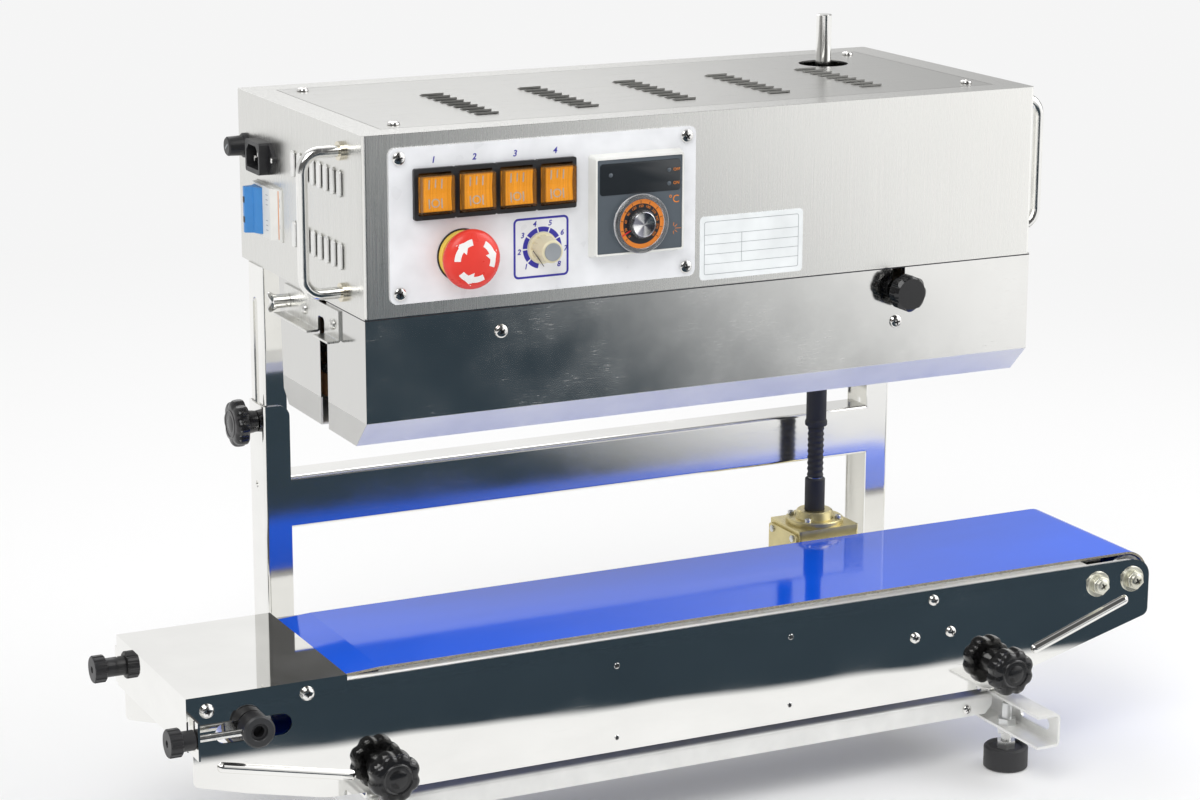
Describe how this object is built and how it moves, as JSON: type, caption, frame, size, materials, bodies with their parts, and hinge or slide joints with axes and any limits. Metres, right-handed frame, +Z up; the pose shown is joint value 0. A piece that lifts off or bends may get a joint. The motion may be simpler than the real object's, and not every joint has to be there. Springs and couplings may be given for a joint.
{
  "type": "vertical band sealer",
  "caption": "Bag sealer: a stainless head with heated bands and a control panel on columns behind a flat belt conveyor, joined by a vertical drive rod.",
  "frame": {"origin": "centre of the machine's footprint on the floor", "axes": "+X the way the bags travel, +Y from the control panel to the back, +Z up"},
  "size_m": [0.807, 0.324, 0.563],
  "materials": {
    "brushed_stainless": "vertical brushed grain",
    "polished_stainless": "mirror polished sheet",
    "panel_silver": "satin silver film",
    "black_rubber": "matt moulded",
    "zinc_steel": "bright zinc plate",
    "ground_steel": "ground and oiled",
    "black_gloss": "polished moulding",
    "black_plastic": "fine grain",
    "orange_clear": "translucent",
    "stop_yellow": "moulded",
    "stop_red": "moulded",
    "cream_plastic": "moulded",
    "white_plastic": "moulded",
    "toggle_blue": "moulded",
    "dial_clear": "clear with a printed ring",
    "motor_grey": "satin",
    "cast_aluminium": "machined",
    "seal_band": "smooth coated weave",
    "yellow_zinc": "yellow zinc plate",
    "blue_belt": "glossy smooth",
    "rod_steel": "bright drawn bar"
  },
  "bodies": {
    "base": {"legs": "brushed_stainless", "rubber_feet": "black_rubber", "foot_studs": "zinc_steel", "cross_rails": "brushed_stainless", "column_frame": "polished_stainless", "conveyor_brackets": "brushed_stainless"},
    "head": {"inner_columns": "polished_stainless", "head_shell": "brushed_stainless", "head_lid": "brushed_stainless", "mechanism_plate": "ground_steel", "front_cover": "brushed_stainless", "rear_guard": "brushed_stainless", "handles": "polished_stainless", "panel_plate": "panel_silver", "rocker_frames": "black_plastic", "stop_button_base": "stop_yellow", "controller_body": "white_plastic", "power_fittings": "black_plastic", "breaker_body": "white_plastic", "gear_motor": "motor_grey", "seal_bands": "seal_band", "heater_blocks": "cast_aluminium", "cooling_blocks": "cast_aluminium", "guide_bracket": "brushed_stainless"},
    "conveyor": {"gearbox_case": "yellow_zinc", "conveyor_panel_front": "polished_stainless", "conveyor_panel_back": "polished_stainless", "infeed_cover": "polished_stainless", "slider_bed": "brushed_stainless", "conveyor_belt": "blue_belt", "conveyor_axles": "ground_steel"},
    "drive_shaft": {"drive_rod": "rod_steel", "rod_cover": "black_plastic"},
    "column_knob_left": {"column_knob_left": "black_gloss"},
    "column_knob_right": {"column_knob_right": "black_gloss"},
    "clamp_knob_left": {"clamp_knob_left": "black_gloss"},
    "clamp_knob_right": {"clamp_knob_right": "black_gloss"},
    "thumb_nut_front": {"thumb_nut_front": "black_plastic"},
    "thumb_nut_back": {"thumb_nut_back": "black_plastic"},
    "rod_gear": {"rod_gear": "ground_steel"},
    "motor_pinion": {"motor_pinion": "ground_steel"},
    "band_wheel_front_drive": {"band_wheel_front_drive": "cast_aluminium"},
    "band_wheel_back_drive": {"band_wheel_back_drive": "cast_aluminium"},
    "band_wheel_front_idle": {"band_wheel_front_idle": "cast_aluminium"},
    "band_wheel_back_idle": {"band_wheel_back_idle": "cast_aluminium"},
    "pressure_wheel_front": {"pressure_wheel_front": "black_rubber"},
    "pressure_wheel_back": {"pressure_wheel_back": "black_rubber"},
    "drive_roller": {"drive_roller": "cast_aluminium"},
    "infeed_roller": {"infeed_roller": "cast_aluminium"},
    "outfeed_roller": {"outfeed_roller": "cast_aluminium"},
    "rocker_1": {"rocker_1": "orange_clear"},
    "rocker_2": {"rocker_2": "orange_clear"},
    "rocker_3": {"rocker_3": "orange_clear"},
    "rocker_4": {"rocker_4": "orange_clear"},
    "stop_button_cap": {"stop_button_cap": "stop_red"},
    "speed_knob": {"speed_knob": "cream_plastic"},
    "controller_dial": {"controller_dial": "dial_clear"},
    "breaker_toggle": {"breaker_toggle": "toggle_blue"},
    "pressure_knob": {"pressure_knob": "black_gloss"},
    "wing_screw": {"wing_screw": "zinc_steel"}
  },
  "joints": [
    {"name": "head_height", "type": "slide", "parent": "base", "child": "head", "axis": [0, 0, 1], "range_m": [-0.04, 0.02]},
    {"name": "conveyor_height", "type": "slide", "parent": "base", "child": "conveyor", "axis": [0, 0, 1], "range_m": [0, 0.025]},
    {"name": "column_knob_left_turn", "type": "hinge", "parent": "base", "child": "column_knob_left", "pos_m": [-0.26298, 0.113, 0.282], "axis": [1, 0, 0], "range_deg": [-180, 360]},
    {"name": "column_knob_right_turn", "type": "hinge", "parent": "base", "child": "column_knob_right", "pos_m": [0.28702, 0.113, 0.282], "axis": [1, 0, 0], "range_deg": [-360, 180]},
    {"name": "clamp_knob_left_turn", "type": "hinge", "parent": "conveyor", "child": "clamp_knob_left", "pos_m": [-0.24397, -0.12, 0.081], "axis": [0, 1, 0], "range_deg": [-180, 360]},
    {"name": "clamp_knob_right_turn", "type": "hinge", "parent": "conveyor", "child": "clamp_knob_right", "pos_m": [0.26203, -0.12, 0.081], "axis": [0, 1, 0], "range_deg": [-180, 360]},
    {"name": "thumb_nut_front_turn", "type": "hinge", "parent": "conveyor", "child": "thumb_nut_front", "pos_m": [-0.39298, -0.109, 0.1275], "axis": [1, 0, 0], "range_deg": [-360, 360]},
    {"name": "thumb_nut_back_turn", "type": "hinge", "parent": "conveyor", "child": "thumb_nut_back", "pos_m": [-0.39298, 0.059, 0.1275], "axis": [1, 0, 0], "range_deg": [-360, 360]},
    {"name": "pressure_knob_turn", "type": "hinge", "parent": "head", "child": "pressure_knob", "pos_m": [0.16403, -0.11, 0.3835], "axis": [0, 1, 0], "range_deg": [-180, 180]},
    {"name": "wing_screw_turn", "type": "hinge", "parent": "head", "child": "wing_screw", "pos_m": [-0.26698, 0.042, 0.387], "axis": [1, 0, 0], "range_deg": [-180, 360]},
    {"name": "rod_gear_spin", "type": "hinge", "parent": "head", "child": "rod_gear", "pos_m": [0.19903, 0.074, 0.408], "axis": [0, 0, 1], "continuous": true},
    {"name": "rod_spin", "type": "hinge", "parent": "conveyor", "child": "drive_shaft", "pos_m": [0.19903, 0.074, 0.25], "axis": [0, 0, 1], "continuous": true},
    {"name": "motor_pinion_spin", "type": "hinge", "parent": "head", "child": "motor_pinion", "pos_m": [0.12302, 0.074, 0.408], "axis": [0, 0, 1], "continuous": true},
    {"name": "band_wheel_back_drive_spin", "type": "hinge", "parent": "head", "child": "band_wheel_back_drive", "pos_m": [0.2403, 0.009, 0.332], "axis": [0, 0, 1], "continuous": true},
    {"name": "band_wheel_front_drive_spin", "type": "hinge", "parent": "head", "child": "band_wheel_front_drive", "pos_m": [0.2403, -0.053, 0.332], "axis": [0, 0, 1], "continuous": true},
    {"name": "band_wheel_back_idle_spin", "type": "hinge", "parent": "head", "child": "band_wheel_back_idle", "pos_m": [-0.21097, 0.009, 0.332], "axis": [0, 0, 1], "continuous": true},
    {"name": "band_wheel_front_idle_spin", "type": "hinge", "parent": "head", "child": "band_wheel_front_idle", "pos_m": [-0.21097, -0.053, 0.332], "axis": [0, 0, 1], "continuous": true},
    {"name": "pressure_wheel_front_spin", "type": "hinge", "parent": "head", "child": "pressure_wheel_front", "pos_m": [0.16403, -0.0371, 0.332], "axis": [0, 0, 1], "continuous": true},
    {"name": "pressure_wheel_back_spin", "type": "hinge", "parent": "head", "child": "pressure_wheel_back", "pos_m": [0.16403, -0.0069, 0.332], "axis": [0, 0, 1], "continuous": true},
    {"name": "drive_roller_spin", "type": "hinge", "parent": "conveyor", "child": "drive_roller", "pos_m": [0.19903, -0.025, 0.124], "axis": [0, 1, 0], "continuous": true},
    {"name": "infeed_roller_spin", "type": "hinge", "parent": "conveyor", "child": "infeed_roller", "pos_m": [-0.33998, -0.025, 0.1275], "axis": [0, 1, 0], "continuous": true},
    {"name": "outfeed_roller_spin", "type": "hinge", "parent": "conveyor", "child": "outfeed_roller", "pos_m": [0.38403, -0.025, 0.1333], "axis": [0, 1, 0], "continuous": true},
    {"name": "rocker_1_tilt", "type": "hinge", "parent": "head", "child": "rocker_1", "pos_m": [-0.20297, -0.098, 0.4835], "axis": [1, 0, 0], "range_deg": [-10, 10]},
    {"name": "rocker_2_tilt", "type": "hinge", "parent": "head", "child": "rocker_2", "pos_m": [-0.17297, -0.098, 0.4835], "axis": [1, 0, 0], "range_deg": [-10, 10]},
    {"name": "rocker_3_tilt", "type": "hinge", "parent": "head", "child": "rocker_3", "pos_m": [-0.14297, -0.098, 0.4835], "axis": [1, 0, 0], "range_deg": [-10, 10]},
    {"name": "rocker_4_tilt", "type": "hinge", "parent": "head", "child": "rocker_4", "pos_m": [-0.11298, -0.098, 0.4835], "axis": [1, 0, 0], "range_deg": [-10, 10]},
    {"name": "stop_button_press", "type": "slide", "parent": "head", "child": "stop_button_cap", "axis": [0, 1, 0], "range_m": [0, 0.004]},
    {"name": "speed_knob_turn", "type": "hinge", "parent": "head", "child": "speed_knob", "pos_m": [-0.12268, -0.11, 0.4395], "axis": [0, 1, 0], "range_deg": [-150, 150]},
    {"name": "controller_dial_turn", "type": "hinge", "parent": "head", "child": "controller_dial", "pos_m": [-0.05167, -0.11, 0.452], "axis": [0, 1, 0], "range_deg": [-140, 140]},
    {"name": "breaker_toggle_swing", "type": "hinge", "parent": "head", "child": "breaker_toggle", "pos_m": [-0.25248, 0.09, 0.445], "axis": [0, 0, 1], "range_deg": [0, 40]}
  ],
  "couplings": [
    {"joint": "rod_spin", "follows": "rod_gear_spin", "ratio": 1},
    {"joint": "motor_pinion_spin", "follows": "rod_gear_spin", "ratio": -1.5333},
    {"joint": "band_wheel_back_drive_spin", "follows": "rod_gear_spin", "ratio": -1.4839},
    {"joint": "band_wheel_back_idle_spin", "follows": "rod_gear_spin", "ratio": -1.4839},
    {"joint": "band_wheel_front_drive_spin", "follows": "rod_gear_spin", "ratio": 1.4839},
    {"joint": "band_wheel_front_idle_spin", "follows": "rod_gear_spin", "ratio": 1.4839},
    {"joint": "pressure_wheel_front_spin", "follows": "rod_gear_spin", "ratio": 3.1797},
    {"joint": "pressure_wheel_back_spin", "follows": "rod_gear_spin", "ratio": -3.1797},
    {"joint": "drive_roller_spin", "follows": "rod_gear_spin", "ratio": -2.2258},
    {"joint": "infeed_roller_spin", "follows": "rod_gear_spin", "ratio": -2.5438},
    {"joint": "outfeed_roller_spin", "follows": "rod_gear_spin", "ratio": -2.5438}
  ]
}
